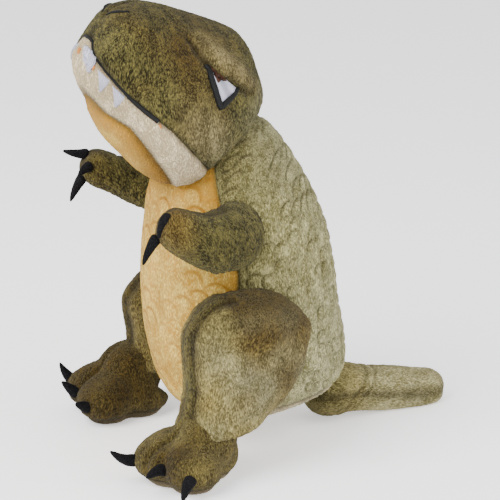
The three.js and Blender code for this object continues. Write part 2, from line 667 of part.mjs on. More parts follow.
function addFoot(side) {
  const foot = feet[side];
  const room = ankleRoom[side];
  add(`sole_${side}`, foot.panel(-1, SOLE_RISE, 3, 24), COLOUR.seat);
  add(`foot_top_panel_${side}`, cut(foot.panel(SOLE_RISE + 0.03, 1, 5, 24), room), COLOUR.limb);
  add(`foot_stuffing_${side}`, cut(foot.solid(CLOTH + FILL_GAP, 7, 24), room), COLOUR.fill);
  const pillow = toSolid(foot.solid(-TOUCH_GAP, 7, 24));
  FOOT_CLAWS[side].forEach(({ turn, rise, lean, bow, reach = 1 }, i) => {
    const root = foot.point(rise, sideSign[side] * turn, 1.5);
    const heading = foot.heading + sideSign[side] * turn * Math.PI;
    const away = vector(Math.sin(heading), -Math.cos(heading), lean).normalize();
    const tip = root.clone().addScaledVector(away, reach * FOOT_CLAW.length + 1.5);
    const horn = claw(root, tip, vector(0, 0, bow), FOOT_CLAW.radius);
    add(`foot_claw_${side}_${i + 1}`, cut(horn, pillow), COLOUR.claw, 0.8);
  });
}

addBody();
addHead();
addTail();
for (const side of Object.keys(sideSign)) {
  addArm(side);
  addLeg(side);
  addFoot(side);
}

// The origin is at the middle of the footprint, on the ground.
const box = new THREE.Box3().setFromObject(dinosaur);
dinosaur.position.set(-(box.min.x + box.max.x) / 2, -(box.min.y + box.max.y) / 2, -box.min.z);

export default dinosaur;
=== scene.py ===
"""Looks for a plush dinosaur: stuffed fabric covers, embroidery, cloth claws and a studio."""

import math

import bpy
import numpy as np
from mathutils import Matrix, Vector, noise
from mathutils.bvhtree import BVHTree


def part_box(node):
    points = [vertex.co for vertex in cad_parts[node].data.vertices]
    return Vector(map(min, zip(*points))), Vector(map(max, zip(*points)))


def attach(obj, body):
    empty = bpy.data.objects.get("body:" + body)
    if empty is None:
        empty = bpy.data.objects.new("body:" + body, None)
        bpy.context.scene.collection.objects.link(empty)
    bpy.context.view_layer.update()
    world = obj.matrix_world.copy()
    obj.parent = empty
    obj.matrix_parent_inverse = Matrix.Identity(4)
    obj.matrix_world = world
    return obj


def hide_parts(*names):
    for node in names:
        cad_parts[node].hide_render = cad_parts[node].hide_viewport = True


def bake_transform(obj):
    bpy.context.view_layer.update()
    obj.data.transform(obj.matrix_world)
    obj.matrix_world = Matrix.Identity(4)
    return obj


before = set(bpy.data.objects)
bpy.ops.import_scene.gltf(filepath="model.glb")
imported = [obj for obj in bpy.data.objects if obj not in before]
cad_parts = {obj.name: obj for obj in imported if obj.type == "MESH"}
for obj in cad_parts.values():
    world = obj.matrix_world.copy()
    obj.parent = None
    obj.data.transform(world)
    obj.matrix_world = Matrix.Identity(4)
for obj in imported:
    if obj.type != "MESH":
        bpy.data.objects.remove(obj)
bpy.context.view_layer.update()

bl_info = {
    "name": "Plush dinosaur",
    "version": (1, 0, 0),
    "blender": (4, 5, 0),
    "location": "View3D > Sidebar > Plush",
    "description": "Covers, embroidery and claws of a stuffed dinosaur, and its studio",
    "category": "Object",
}

MM = 0.001
SIDES = {"left": 1, "right": -1}
LOW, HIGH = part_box("body_stuffing")
MIDDLE = (LOW.x + HIGH.x) / 2
SHADING = ("brown", "ochre", "pale", "crease", "raise")  # what a cover's mesh may keep for its finish; crease, and brown in places, are painted shade
VERTEX_MASS = 0.005  # kilograms for each point of cloth in the simulation
CLOTH_PRESSURE = 400
CLOTH_FRAMES = 20
LENS, SENSOR = 158.1, 36  # of the camera, in mm


# ---------------------------------------------------------------- settings


def length(name, about, millimetres):
    """A size that a user may change, in metres."""
    return bpy.props.FloatProperty(
        name=name, description=about, default=millimetres * MM, unit="LENGTH", subtype="DISTANCE", precision=5
    )


def colour(name, about, shade):
    """A colour given as six hexadecimal digits of screen colour."""
    channels = [int(shade[i:i + 2], 16) / 255 for i in (0, 2, 4)]
    linear = [c / 12.92 if c <= 0.04045 else ((c + 0.055) / 1.055) ** 2.4 for c in channels]
    return bpy.props.FloatVectorProperty(
        name=name, description=about, default=linear, size=3, min=0, max=1, subtype="COLOR"
    )


class PlushSizes(bpy.types.PropertyGroup):
    """Sizes of the fabric and of what is sewn on it."""

    mouth_y: length("Mouth corner Y", "Where the mouth ends, along the body's axis", -36.9)
    mouth_z: length("Mouth corner height", "Height of the mouth corner above the ground", 121)
    head_tilt: bpy.props.FloatProperty(
        name="Head tilt", description="How far the snout points up", default=math.radians(54), subtype="ANGLE"
    )
    swell: length("Swell", "How far the stuffing may push a cover out", 1.2)
    seam_depth: length("Seam depth", "How deep a seam pulls the plush in", 0.9)
    seam_width: length("Seam width", "Half width of the valley along a seam", 1.1)
    pile: length("Pile", "Height of the tufts in the nap", 0.22)
    scale_pitch: length("Scale pitch", "From one embossed scale to the next", 8.0)


class PlushColours(bpy.types.PropertyGroup):
    """Colours of the fabrics and threads."""

    body_dark: colour("Body, dark", "Roots of the grey-green plush", "524c29")
    body_light: colour("Body, light", "Tips of the grey-green plush", "938d5e")
    head_dark: colour("Head, dark", "Roots of the olive plush", "1b180b")
    head_light: colour("Head, light", "Tips of the olive plush", "59532d")
    belly_dark: colour("Belly, dark", "Roots of the yellow plush", "aa7d2c")
    belly_light: colour("Belly, light", "Tips of the yellow plush", "cdb05c")
    cream_dark: colour("Cream, dark", "Roots of the cream plush", "9c8a6a")
    cream_light: colour("Cream, light", "Tips of the cream plush", "c8b898")
    limb_dark: colour("Limb, dark", "Roots of the tan plush", "40371c")
    limb_light: colour("Limb, light", "Tips of the tan plush", "867b49")
    # The airbrush browns also paint shade: in creases, seam valleys and hollows, and over the far leg and
    # foot.
    brown_dark: colour("Airbrush, dark", "Darkest of the brown shading", "1a1307")
    brown_light: colour("Airbrush, light", "Lightest of the brown shading", "433617")
    pale_dark: colour("Bleached, dark", "Roots of the plush where it is pale", "77744f")
    pale_light: colour("Bleached, light", "Tips of the plush where it is pale", "bcb896")
    ochre: colour("Ochre print", "Scale arcs on the belly and shading on the jaw", "8f5f14")
    black_cloth: colour("Claw cloth", "Brushed black cloth", "030304")
    white_thread: colour("White thread", "Satin stitch of teeth and eyes", "b9b8c8")
    black_thread: colour("Black thread", "Satin stitch of lips and outlines", "020203")
    brown_thread: colour("Brown thread", "Satin stitch of the iris", "40200c")
    orange_thread: colour("Orange thread", "Small stitches between the teeth", "c9803c")


# ---------------------------------------------------------------- mesh work


def alone(*objects):
    """Selects only these objects, and makes the first one active."""
    bpy.ops.object.select_all(action="DESELECT")
    for obj in objects:
        obj.select_set(True)
    bpy.context.view_layer.objects.active = objects[0] if objects else None


def edit(obj, *steps):
    """Runs edit mode operators on everything in a mesh."""
    alone(obj)
    bpy.ops.object.mode_set(mode="EDIT")
    bpy.ops.mesh.select_all(action="SELECT")
    for step, settings in steps:
        step(**settings)
    bpy.ops.object.mode_set(mode="OBJECT")


def modify(obj, kind, **settings):
    """Adds a modifier and applies it."""
    alone(obj)
    modifier = obj.modifiers.new(kind.title(), kind)
    for key, value in settings.items():
        setattr(modifier, key, value)
    bpy.ops.object.modifier_apply(modifier=modifier.name)


def copy_nodes(name, nodes):
    """One mesh from copies of some CAD nodes, its shared corners merged."""
    copies = []
    for node in nodes:
        made = bpy.data.objects.new(name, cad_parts[node].data.copy())
        bpy.context.scene.collection.objects.link(made)
        copies.append(made)
    alone(*copies)
    if len(copies) > 1:
        bpy.ops.object.join()
    obj = bpy.context.view_layer.objects.active
    obj.name = obj.data.name = name
    obj.data.materials.clear()
    edit(obj, (bpy.ops.mesh.remove_doubles, {"threshold": 0.01 * MM}))
    return obj


def outer_shell(obj):
    """Drops the inner walls that a remesh leaves, and keeps the outer one."""
    alone(obj)
    bpy.ops.object.mode_set(mode="EDIT")
    bpy.ops.mesh.select_all(action="SELECT")
    bpy.ops.mesh.separate(type="LOOSE")
    bpy.ops.object.mode_set(mode="OBJECT")
    parts = sorted(bpy.context.selected_objects, key=lambda part: part.dimensions.length)
    name = obj.name
    kept = parts.pop()
    for part in parts:
        bpy.data.objects.remove(part)
    kept.name = kept.data.name = name.split(".")[0]
    return kept


def points(obj):
    """A mesh's points, one row each."""
    flat = np.empty(len(obj.data.vertices) * 3)
    obj.data.vertices.foreach_get("co", flat)
    return flat.reshape(-1, 3)


def place(obj, rows):
    """Gives a mesh its points."""
    obj.data.vertices.foreach_set("co", rows.ravel())
    obj.data.update()


def normals(obj):
    """The direction out of the surface at each point."""
    flat = np.empty(len(obj.data.vertices) * 3)
    obj.data.vertex_normals.foreach_get("vector", flat)
    return flat.reshape(-1, 3)


def push(obj, amount):
    """Moves each point out along its normal. The ground presses flat what would reach below it."""
    rows = points(obj) + normals(obj) * np.asarray(amount)[:, None]
    rows[:, 2] = np.maximum(rows[:, 2], 0)
    place(obj, rows)


def store(obj, name, values):
    """Keeps a number at each point, for the material to read."""
    layer = obj.data.attributes.get(name) or obj.data.attributes.new(name, "FLOAT", "POINT")
    layer.data.foreach_set("value", np.asarray(values, np.float32))


def stored(obj, name):
    """Reads a number kept at each point."""
    values = np.empty(len(obj.data.vertices), np.float32)
    obj.data.attributes[name].data.foreach_get("value", values)
    return values.astype(float)


def tree_of(*nodes):
    """A search tree over the surfaces of some CAD nodes."""
    corners, faces = [], []
    for node in nodes:
        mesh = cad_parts[node].data
        first = len(corners)
        corners += [v.co for v in mesh.vertices]
        faces += [[first + i for i in p.vertices] for p in mesh.polygons]
    return BVHTree.FromPolygons(corners, faces)


def surface_of(obj):
    """A search tree over a finished piece."""
    return BVHTree.FromPolygons([v.co for v in obj.data.vertices], [p.vertices for p in obj.data.polygons])


def away_from(rows, *nodes):
    """How far each point is from some CAD nodes."""
    tree = tree_of(*nodes)
    return np.array([tree.find_nearest(row)[3] for row in rows])


def clouds(rows, size, seed):
    """Soft noise from -1 to 1, whose lumps are about as large as size, which may differ along each axis."""
    scaled = rows / np.asarray(size, float) + seed * 17.3
    return np.array([noise.noise(row) for row in scaled])


def fade(values, near, far):
    """1 up to near, and a smooth fall to 0 at far."""
    share = np.clip((np.asarray(values) - near) / (far - near), 0, 1)
    return 1 - share * share * (3 - 2 * share)


def along_line(rows, line):
    """Each point's distance to a line of straight stretches, and how far along it is, from 0 to 1."""
    line = np.asarray(line, float)
    steps = np.linalg.norm(np.diff(line, axis=0), axis=1)
    starts = np.concatenate([[0], np.cumsum(steps)])
    best = np.full(len(rows), np.inf)
    share = np.zeros(len(rows))
    for i, (a, b) in enumerate(zip(line[:-1], line[1:])):
        t = np.clip(((rows - a) @ (b - a)) / steps[i] ** 2, 0, 1)
        distance = np.linalg.norm(rows - (a + t[:, None] * (b - a)), axis=1)
        nearer = distance < best
        best[nearer] = distance[nearer]
        share[nearer] = (starts[i] + t[nearer] * steps[i]) / starts[-1]
    return best, share


def inflate(obj, cap):
    """Lets stuffing push the cover out as cloth, and caps how far each point moves."""
    before = points(obj)
    alone(obj)
    cloth = obj.modifiers.new("Cloth", "CLOTH")
    cloth.settings.mass = VERTEX_MASS
    cloth.settings.quality = 4
    cloth.settings.use_pressure = True
    cloth.settings.uniform_pressure_force = CLOTH_PRESSURE
    cloth.settings.effector_weights.gravity = 0
    cloth.collision_settings.use_collision = False
    scene = bpy.context.scene
    for step in range(CLOTH_FRAMES):
        scene.frame_set(step + 1)
    bpy.ops.object.modifier_apply(modifier=cloth.name)
    scene.frame_set(1)
    moved = points(obj) - before
    far = np.linalg.norm(moved, axis=1)
    limit = cap * np.tanh(far / cap) / np.maximum(far, 1e-9)
    place(obj, before + moved * limit[:, None])


# ---------------------------------------------------------------- materials


class Recipe:
    """Builds one material, node by node."""

    def __init__(self, name):
        self.material = bpy.data.materials.new(name)
        self.material.use_nodes = True
        self.nodes = self.material.node_tree.nodes
        self.links = self.material.node_tree.links
        self.shader = self.nodes["Principled BSDF"]
        self.place = self.add("ShaderNodeTexCoord").outputs["Object"]

    def add(self, kind, inputs=None, **settings):
        """Adds a node. inputs gives values or sockets by the input's name or number."""
        node = self.nodes.new(kind)
        for key, value in settings.items():
            setattr(node, key, value)
        for key, value in (inputs or {}).items():
            if isinstance(value, bpy.types.NodeSocket):
                self.links.new(value, node.inputs[key])
            else:
                node.inputs[key].default_value = value
        return node

    def number(self, name):
        """A number that the mesh keeps at each point."""
        return self.add("ShaderNodeAttribute", attribute_name=name).outputs["Fac"]

    def math(self, operation, *values, clamp=False):
        node = self.add("ShaderNodeMath", operation=operation, use_clamp=clamp)
        for socket, value in zip(node.inputs, values):
            if isinstance(value, bpy.types.NodeSocket):
                self.links.new(value, socket)
            else:
                socket.default_value = value
        return node.outputs[0]

    def between(self, value, low, high, start=0.0, end=1.0):
        """A smooth step of a value."""
        node = self.add(
            "ShaderNodeMapRange",
            {"Value": value, "From Min": low, "From Max": high, "To Min": start, "To Max": end},
            interpolation_type="SMOOTHSTEP",
        )
        return node.outputs["Result"]

    def mix(self, factor, first, second, blend="MIX"):
        """One colour over another."""
        node = self.add("ShaderNodeMix", data_type="RGBA", blend_type=blend)
        for index, value in ((0, factor), (6, first), (7, second)):
            if isinstance(value, bpy.types.NodeSocket):
                self.links.new(value, node.inputs[index])
            else:
                node.inputs[index].default_value = value if index == 0 else (*value, 1)
        return node.outputs[2]

    def grey(self, value):
        """A colour whose three channels are one number."""
        return self.add("ShaderNodeCombineColor", {0: value, 1: value, 2: value}).outputs[0]

    def grain(self, size, stretch=(1, 1, 1), turn=(0, 0, 0), detail=2.0, rough=0.6, lay=0.0):
        """Noise whose lumps are about as large as size, drawn out along an axis. lay bends its direction."""
        where = self.place
        if lay:
            drift = self.add("ShaderNodeTexNoise", {"Vector": where, "Scale": 60.0, "Detail": 1.0})
            shift = self.add(
                "ShaderNodeVectorMath", {0: drift.outputs["Color"], 1: (lay, lay, lay)}, operation="MULTIPLY"
            )
            bent = self.add("ShaderNodeVectorMath", {0: where, 1: shift.outputs[0]}, operation="ADD")
            where = bent.outputs[0]
        turned = self.add("ShaderNodeMapping", {"Vector": where, "Rotation": turn}, vector_type="TEXTURE")
        scaled = self.add(
            "ShaderNodeMapping",
            {"Vector": turned.outputs[0], "Scale": [1 / (size * part) for part in stretch]},
        )
        node = self.add(
            "ShaderNodeTexNoise",
            {"Vector": scaled.outputs[0], "Scale": 1.0, "Detail": detail, "Roughness": rough},
        )
        return node.outputs["Fac"]


def plush(name, fabrics, turn=(0, 0, 0), contrast=1.0):
    """Short-pile plush. fabrics is a list of (mask, dark colour, light colour). The first one's mask is None.
    Each later one shows where its mask, kept by the mesh in millimetres, is above zero. The mesh also keeps
    `brown` and `ochre`, the airbrushed shading, `brown` in places painted shade, `pale`, and `seam`, how deep
    in a crease it lies, which is painted shade."""
    colours = bpy.context.scene.plush_colours
    r = Recipe(name)
    tufts = r.grain(0.75 * MM, (1, 1, 1.7), turn, detail=3.0, rough=0.7, lay=0.006)
    strands = r.grain(0.35 * MM, (1, 1, 4), turn, detail=1.0, lay=0.006)
    clumps = r.grain(4.5 * MM, (1, 1, 1.8), turn, detail=2.0)
    patches = r.grain(17 * MM, detail=1.0)
    nap = r.math("ADD", r.math("MULTIPLY", tufts, 0.62), r.math("MULTIPLY", strands, 0.38))
    nap = r.math("ADD", nap, r.math("MULTIPLY", r.math("SUBTRACT", clumps, 0.5), 0.35))
    nap = r.between(nap, 0.5 - 0.14 / contrast, 0.5 + 0.15 / contrast)
    shown = None
    for mask, dark, light in fabrics:
        fabric = r.mix(nap, getattr(colours, dark), getattr(colours, light))
        shown = fabric if shown is None else r.mix(r.between(r.number(mask), -0.25, 0.25), shown, fabric)
    wander = r.math("MULTIPLY", r.math("SUBTRACT", clumps, 0.5), 0.5)
    # The brown is airbrush and, in hollows and on the far side, painted shade.
    brown = r.math("ADD", r.number("brown"), r.math("MULTIPLY", wander, r.number("brown")), clamp=True)
    shown = r.mix(brown, shown, r.mix(nap, colours.brown_dark, colours.brown_light))
    ochre = r.math("MULTIPLY", r.number("ochre"), r.between(nap, -0.6, 0.9), clamp=True)
    shown = r.mix(ochre, shown, colours.ochre)
    bleached = r.mix(nap, colours.pale_dark, colours.pale_light)
    shown = r.mix(r.math("MULTIPLY", r.number("pale"), 0.5, clamp=True), shown, bleached)
    # Painted highlights: light flecks where the tips of the pile catch the light.
    tip_glints = r.math("MULTIPLY", r.between(strands, 0.54, 0.72), 0.55)
    shown = r.mix(tip_glints, shown, (1.9, 1.85, 1.6), "MULTIPLY")
    tint = r.between(patches, 0.3, 0.7, 0.88, 1.1)
    shown = r.mix(1.0, shown, r.grey(tint), "MULTIPLY")
    # Painted shade: seam valleys and creases darkened toward the dark brown.
    depth = r.math("MULTIPLY", r.number("seam"), 0.62, clamp=True)
    shown = r.mix(depth, shown, colours.brown_dark)
    relief = r.add("ShaderNodeBump", {"Height": nap, "Strength": 0.8, "Distance": 0.6 * MM})
    r.links.new(shown, r.shader.inputs["Base Color"])
    r.links.new(relief.outputs[0], r.shader.inputs["Normal"])
    r.shader.inputs["Roughness"].default_value = 0.95
    r.shader.inputs["Specular IOR Level"].default_value = 0.06
    r.shader.inputs["Sheen Weight"].default_value = 0.07
    r.shader.inputs["Sheen Roughness"].default_value = 0.5
    r.shader.inputs["Sheen Tint"].default_value = (0.9, 0.87, 0.72, 1)
    return r.material


# ---------------------------------------------------------------- covers

TORSO = ["body_panel_left", "body_panel_right", "belly_panel", "seat_panel", "body_stuffing"]
HEAD = [
    "head_panel_left", "head_panel_right", "jaw_panel", "mouth_band_left", "mouth_band_right",
    "head_stuffing",
]
TAIL = ["tail_top_panel", "tail_under_panel", "tail_stuffing"]


def stuffed(name, nodes, voxel, convex=False, blur=6, plug=None):
    """A closed cover round some CAD nodes, swollen by its stuffing. plug is the place and radius of a ball
    that fills a socket."""
    sizes = bpy.context.scene.plush_sizes
    obj = copy_nodes(name, nodes)
    if plug:
        bpy.ops.mesh.primitive_ico_sphere_add(subdivisions=3, location=plug[0], radius=plug[1])
        ball = bpy.context.active_object
        alone(obj, ball)
        bpy.ops.object.join()
    if convex:
        edit(obj, (bpy.ops.mesh.convex_hull, {}))
    modify(obj, "REMESH", mode="VOXEL", voxel_size=voxel)
    obj = outer_shell(obj)
    modify(obj, "SMOOTH", factor=0.5, iterations=blur)
    inflate(obj, sizes.swell)
    modify(obj, "SMOOTH", factor=0.5, iterations=2)
    modify(obj, "SUBSURF", levels=2, render_levels=2)
    return obj


def seams(obj, panels):
    """Keeps how far each point is inside each panel, in millimetres, and how close it is to a seam."""
    rows = points(obj)
    away = {panel: away_from(rows, *nodes) / MM for panel, nodes in panels.items()}
    for panel, own in away.items():
        others = np.min([far for other, far in away.items() if other != panel], axis=0)
        store(obj, "in_" + panel, (others - own) / 2)
    ranked = np.sort(np.array(list(away.values())), axis=0)
    store(obj, "seam_away", (ranked[1] - ranked[0]) / 2)


def finish_cover(obj, shade, replaced):
    """The fine surface of a cover: seam valleys, creases, and the tufts of the nap."""
    sizes = bpy.context.scene.plush_sizes
    if "seam_away" in obj.data.attributes:
        valley = np.exp(-((stored(obj, "seam_away") * MM / sizes.seam_width) ** 2))
    else:
        valley = np.zeros(len(obj.data.vertices))
    for name in SHADING:
        if name not in obj.data.attributes:
            store(obj, name, np.zeros(len(obj.data.vertices)))
    rows = points(obj)
    tufts = clouds(rows, np.array((0.9, 0.9, 2.2)) * MM, 3)
    lumps = clouds(rows, 13 * MM, 5)
    push(obj, sizes.pile * tufts + 0.5 * MM * lumps - sizes.seam_depth * valley + stored(obj, "raise") * MM)
    # How dark the seam valleys and creases are painted, as painted shade.
    store(obj, "seam", np.clip(valley + stored(obj, "crease"), 0, 1))
    obj.data.materials.clear()
    obj.data.materials.append(shade)
    alone(obj)
    bpy.ops.object.shade_smooth()
    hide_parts(*replaced)


def scallops(along, up, pitch, tip, width, seed):
    """Rows of scale arcs: 1 on an arc's line and 0 away from it, and how far inside a scale each point lies.
    tip is the way the scales point, in radians from up. Some arcs are fainter than others."""
    turned = along * math.cos(tip) + up * math.sin(tip), up * math.cos(tip) - along * math.sin(tip)
    line, inside = np.zeros(len(along)), np.zeros(len(along))
    row = np.floor(turned[1] / (pitch / 2))
    for above in (-1, 0, 1):
        this = row + above
        shift = (this % 2) * pitch / 2
        column = np.round((turned[0] - shift) / pitch)
        for beside in (-1, 0, 1):
            place_x, place_y = (column + beside) * pitch + shift, this * pitch / 2
            strength = np.sin(12.99 * (column + beside) + 78.2 * this + seed) * 43758.5
            strength = np.clip(1.5 * (strength - np.floor(strength)) - 0.2, 0, 1)
            x, y = turned[0] - place_x, turned[1] - place_y
            distance = np.hypot(x, y)
            facing = np.clip(y / np.maximum(distance, 1e-9) * 1.6, 0, 1)
            ring = np.exp(-(((distance - 0.46 * pitch) / width) ** 2))
            line = np.maximum(line, ring * facing * strength)
            inside = np.maximum(inside, np.clip(1 - distance / (0.46 * pitch), 0, 1))
    return line, inside


# Where the middle of the torso stands along the body's axis, by height.
LEAN = [0.011, 0.146], [-0.0079, -0.0199]
# The angle from the front at which the belly's seam runs, in degrees, by height.
BELLY_SEAM = [0.02, 0.081, 0.112, 0.14], [62, 69, 60, 52]
TORSO_FLARE = 6  # how far the torso's back swells out above the tail, in mm


def round_torso(rows):
    """Each point's angle from the torso's front, from 0 to pi, its reach along the cloth and its offset."""
    lean = np.interp(rows[:, 2], *LEAN)
    across, back = rows[:, 0] - MIDDLE, rows[:, 1] - lean
    angle = np.arctan2(np.abs(across), -back)
    return angle, angle * np.hypot(across, back), across


class DINO_OT_torso(bpy.types.Operator):
    """Sews and stuffs the torso."""

    bl_idname = "dino.torso"
    bl_label = "Torso"

    def execute(self, context):
        pitch = context.scene.plush_sizes.scale_pitch
        obj = stuffed("torso", TORSO, 2.8 * MM, convex=True)
        seams(obj, {"upper": TORSO[:3], "seat": ["seat_panel"]})
        rows = points(obj)
        angle, reach, across = round_torso(rows)
        height = rows[:, 2]
        seam = np.radians(np.interp(height, *BELLY_SEAM))
        in_belly = (seam - angle) * np.hypot(across, 0.6 * 0.036) / MM
        store(obj, "in_belly", in_belly)
        on_back = np.where(angle > 2, np.abs(across) / MM, 99)
        store(obj, "seam_away", np.min([np.abs(in_belly), on_back, np.abs(stored(obj, "in_seat"))], axis=0))
        wander = clouds(rows, 20 * MM, 8) * 2.2 * MM
        line, inside = scallops(reach + wander, height - wander, pitch, 0.75, 0.55 * MM, 2.0)
        off_belly = np.clip(-in_belly / 4, 0, 1)
        embossed = line * off_belly
        printed, _ = scallops(reach * np.sign(across) + wander, height, 1.45 * pitch, -0.35, 0.65 * MM, 5.0)
        printed = printed * np.clip(in_belly / 3, 0, 1)
        edge = fade(np.abs(in_belly), 0, 9)
        above_tail = np.exp(-(((height / MM - 14) / 12) ** 2 + (across / MM / 15) ** 2))
        flare = TORSO_FLARE * above_tail * np.clip(angle - 2, 0, 1)
        store(obj, "raise", 0.45 * inside * off_belly - 0.9 * embossed + flare)
        # Painted shade in the embossed arcs.
        store(obj, "crease", 0.85 * embossed)
        # The brown is airbrush, darker up by the neck partly as painted shade under the head and arms.
        near_neck = np.clip((height / MM - 96) / 30, 0, 1)
        soft = clouds(rows, 22 * MM, 11)
        store(obj, "brown", off_belly * np.clip(
            0.42 * edge + 0.45 * near_neck * fade(angle, 1.6, 2.6) + 0.12 * soft, 0, 0.6))
        top = np.clip((height / MM - 85) / 30, 0, 1)
        store(obj, "ochre", np.clip(
            1.0 * printed + np.clip(in_belly, 0, 1) * (0.42 * edge + 0.5 * top + 0.15 * soft), 0, 1))
        low_down = fade(height, 0.03, 0.09)
        store(obj, "pale", off_belly * np.clip(
            np.clip((angle - 1.3) / 1.1, 0, 1) * (0.7 + 0.3 * soft) + 0.5 * low_down, 0, 1))
        shade = plush("torso plush", [
            (None, "body_dark", "body_light"), ("in_belly", "belly_dark", "belly_light"),
            ("in_seat", "cream_dark", "cream_light"),
        ])
        finish_cover(obj, shade, TORSO + ["pellet_pouch"])
        bend_at_neck(obj)
        return {"FINISHED"}


def bend_at_neck(obj):
    """Bakes the piece's place into its mesh."""
    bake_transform(obj)


def in_head(rows):
    """Places from the mouth corner, in mm: forward along the snout, up across it, and to the left."""
    sizes = bpy.context.scene.plush_sizes
    tilt = sizes.head_tilt
    back, rise = rows[:, 1] - sizes.mouth_y, rows[:, 2] - sizes.mouth_z
    forward = (-back * math.cos(tilt) + rise * math.sin(tilt)) / MM
    up = (back * math.sin(tilt) + rise * math.cos(tilt)) / MM
    return forward, up, (rows[:, 0] - MIDDLE) / MM


def from_head(forward, up, across):
    """The point of the row frame at such a place on the head."""
    sizes = bpy.context.scene.plush_sizes
    tilt = sizes.head_tilt
    return Vector((
        MIDDLE + across * MM,
        sizes.mouth_y + (-forward * math.cos(tilt) + up * math.sin(tilt)) * MM,
        sizes.mouth_z + (forward * math.sin(tilt) + up * math.cos(tilt)) * MM,
    ))


# Heights in mm at places forward of the mouth corner: the mouth line, and the seam of the jaw panel.
MOUTH_LINE = [0, 14, 24, 37, 46, 58, 63], [1.5, 0, -1, -4, -5.5, -5.5, -4.5]
JAW_SEAM = [33, 42], [-12, -15]


def lip_height(forward, across):
    """Where the mouth line runs on the head, in mm up from the mouth corner."""
    front = np.clip((forward - 55) / 6, 0, 1) * fade(np.abs(across), 2, 10)
    return np.interp(forward, *MOUTH_LINE) + 5 * front


def jaw_height(forward):
    """Where the cream mouth band meets the jaw panel."""
    return np.interp(forward, *JAW_SEAM)


# The brow's ridge and the crease below it, forward and up on the head, in mm.
BROW_FOLD = [(41, 30), (36, 31), (29, 32.5), (21, 35), (13, 36.5)]
BROW_SHADOW = [(44, 27.5), (40, 27), (33, 26.5), (26.5, 27.5), (18, 31), (12, 33.5)]
BROW_HEIGHT = 3.2  # how far the brow's ridge stands up, in mm
MUZZLE_HEIGHT = 4.3  # how far the top of the muzzle swells up, in mm


class DINO_OT_head(bpy.types.Operator):
    """Sews and stuffs the head, with its brow folds."""

    bl_idname = "dino.head"
    bl_label = "Head"

    def execute(self, context):
        obj = stuffed("head", HEAD, 2.2 * MM, convex=True, blur=4)
        rows = points(obj)
        forward, up, across = in_head(rows)
        lip, jaw = lip_height(forward, across), jaw_height(forward)
        in_band, in_jaw = np.minimum(lip - up, up - jaw), jaw - up
        store(obj, "in_band", in_band)
        store(obj, "in_jaw", in_jaw)
        crown = np.where(up > 8, np.abs(across), 99)
        store(obj, "seam_away", np.min([np.abs(lip - up), np.abs(in_jaw), crown], axis=0))
        flat = np.column_stack([forward, up])
        fold, run = along_line(flat, BROW_FOLD)
        shadow, _ = along_line(flat, BROW_SHADOW)
        on_side = np.clip((np.abs(across) - 6) / 8, 0, 1)
        brow = np.exp(-((fold / 4) ** 2)) * np.sin(np.clip(run, 0.04, 0.96) * math.pi) ** 0.4 * on_side
        under = np.exp(-((shadow / 1.3) ** 2)) * on_side
        pout = np.exp(-((in_jaw - 6) / 5) ** 2) * (in_jaw > 0)
        muzzle = np.exp(-(((forward - 66) / 18) ** 2 + ((up - 14) / 11) ** 2))
        store(obj, "raise", 0.7 + BROW_HEIGHT * brow - 1.8 * under + 0.4 * pout + MUZZLE_HEIGHT * muzzle)
        # Painted shadow along the crease under the brow.
        store(obj, "crease", 0.9 * under)
        soft, skull = clouds(rows, 15 * MM, 21), np.clip((up - lip) / 2, 0, 1)
        top = np.clip((up - 8) / 14, 0, 1) * np.clip((forward - 18) / 22, 0, 1)
        # Painted shadow in front of the brow.
        shadow_before_brow = np.exp(-(((forward - 43) / 6) ** 2 + ((up - 25) / 5) ** 2)) * on_side
        # Painted shade on the jaw where it curves in under the mouth band.
        shade_under_band = np.exp(-(((in_jaw - 1) / 3) ** 2)) * (in_jaw > 0)
        store(obj, "brown", np.where(
            up > lip, np.clip((0.4 * top + 0.8 * shadow_before_brow + 0.25 * soft + 0.1) * (1 - brow), 0, 0.85),
            0.6 * shade_under_band * fade(forward, 12, 42)))
        cheek = np.exp(-(((forward - 10) / 14) ** 2 + ((up - 9) / 9) ** 2))
        store(obj, "ochre", np.where(
            up > lip, skull * np.clip(0.14 * cheek + 0.2 * brow + 0.08 * soft, 0, 1),
            np.clip((in_jaw > 0) * (0.65 * fade(in_jaw, 1, 9) + 0.3 * soft), 0, 1)))
        nape = fade(forward, 2, 14) * np.clip((up - 20) / 10, 0, 1)
        store(obj, "pale", np.clip(0.35 * brow + 0.35 * nape + 0.45 * cheek, 0, 1))
        shade = plush("head plush", [
            (None, "head_dark", "head_light"), ("in_jaw", "belly_dark", "belly_light"),
            ("in_band", "cream_dark", "cream_light"),
        ], contrast=1.15)
        finish_cover(obj, shade, HEAD + ["brow_left", "brow_right"])
        bend_at_neck(obj)
        return {"FINISHED"}


TAIL_CREASES = (0.24, 0.33)  # their places along the tail, from its root
TAIL_FULLNESS = 2.6  # how far the tail swells out at its root and its tip, in mm


